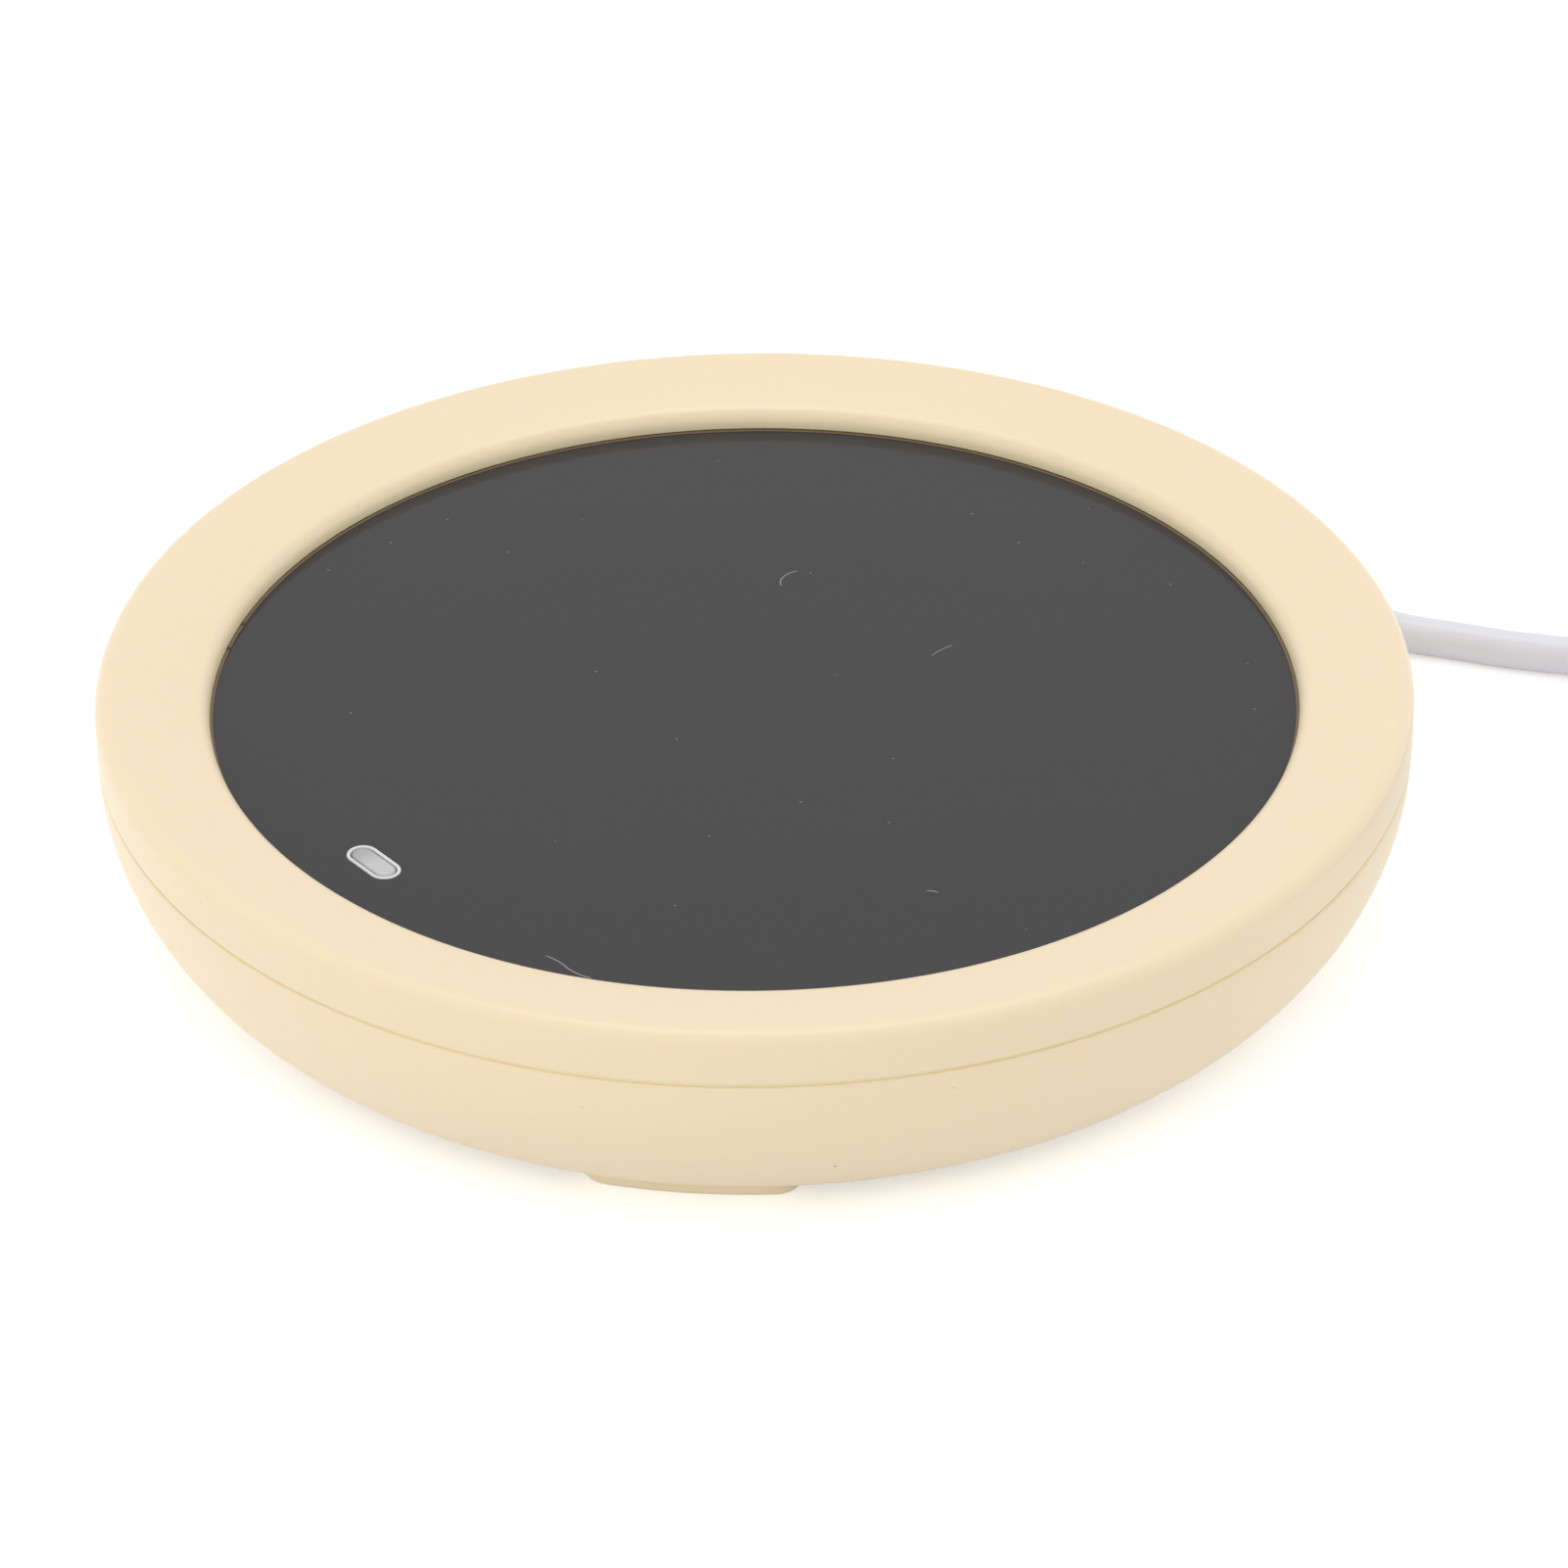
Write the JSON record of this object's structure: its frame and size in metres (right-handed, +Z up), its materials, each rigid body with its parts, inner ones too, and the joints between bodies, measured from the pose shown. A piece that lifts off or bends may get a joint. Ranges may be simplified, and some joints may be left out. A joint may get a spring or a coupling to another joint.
{
  "type": "electric mug warmer",
  "caption": "Low round electric mug warmer: cream case, dark glass hot plate in a recessed ring, small push key, arc-shaped feet and a thin white USB lead.",
  "frame": {"origin": "centre of the case's footprint, on the surface that the feet stand on", "axes": "+Z up, -Y towards the power key, +Y towards the lead's gland"},
  "size_m": [0.1838, 0.1879, 0.0248],
  "materials": {
    "cream_shell": "fine satin moulded ABS",
    "dark_glass": "polished, printed dark grey on its underside",
    "gasket": "silicone, dark brown",
    "key_trim": "white, satin gloss",
    "key_cap": "translucent pale grey",
    "black_plastic": "moulded, matt",
    "aluminium": "rolled sheet",
    "film": "polyimide film over an etched track",
    "insulation": "pressed glass-fibre mat",
    "copper": "tinned copper",
    "carrier": "heat-resistant moulded plastic",
    "steel": "zinc plated",
    "circuit_board": "green solder resist",
    "wire_insulation": "PVC sleeving",
    "white_cord": "white PVC jacket, satin",
    "foot_rubber": "cream silicone, matt",
    "tie": "hook-and-loop strap, pale grey",
    "plug_steel": "nickel plated",
    "gold": "gold flash",
    "capacitor": "multilayer ceramic"
  },
  "bodies": {
    "case": {"bottom_shell": "cream_shell", "top_bezel": "cream_shell", "glass_plate": "dark_glass", "glass_gasket": "gasket", "key_trim": "key_trim", "tact_switch": "steel", "light_shroud": "black_plastic", "heat_spreader": "aluminium", "film_heater": "film", "heater_insulation": "insulation", "heater_terminals": "copper", "thermistor": "black_plastic", "thermal_fuse": "steel", "heater_carrier": "carrier", "carrier_screws": "steel", "case_screws": "steel", "board_screws": "steel", "clamp_screws": "steel", "control_board": "circuit_board", "controller_chip": "black_plastic", "power_transistor": "black_plastic", "led_indicators": "key_trim", "board_capacitors": "capacitor", "board_resistors": "black_plastic", "heater_header": "key_trim", "sensor_header": "key_trim", "heater_leads": "wire_insulation", "sensor_leads": "wire_insulation", "supply_cores": "wire_insulation", "cord_gland": "white_cord", "cord_jacket": "white_cord", "cord_clamp": "carrier", "foot_front_right": "foot_rubber", "foot_rear_right": "foot_rubber", "foot_rear_left": "foot_rubber", "foot_front_left": "foot_rubber", "cord_tube": "white_cord", "cord_coil": "white_cord", "cord_tail": "white_cord", "coil_tie": "tie", "plug_body": "white_cord", "plug_shell": "plug_steel", "plug_tongue": "key_trim", "plug_contacts": "gold"},
    "key": {"power_key": "key_cap", "switch_plunger": "black_plastic"}
  },
  "joints": [
    {"name": "power_key_press", "type": "slide", "parent": "case", "child": "key", "axis": [0, 0, -1], "range_m": [0, 0.0004], "stiffness_N_per_m": 2000, "springref_m": -0.0004}
  ]
}
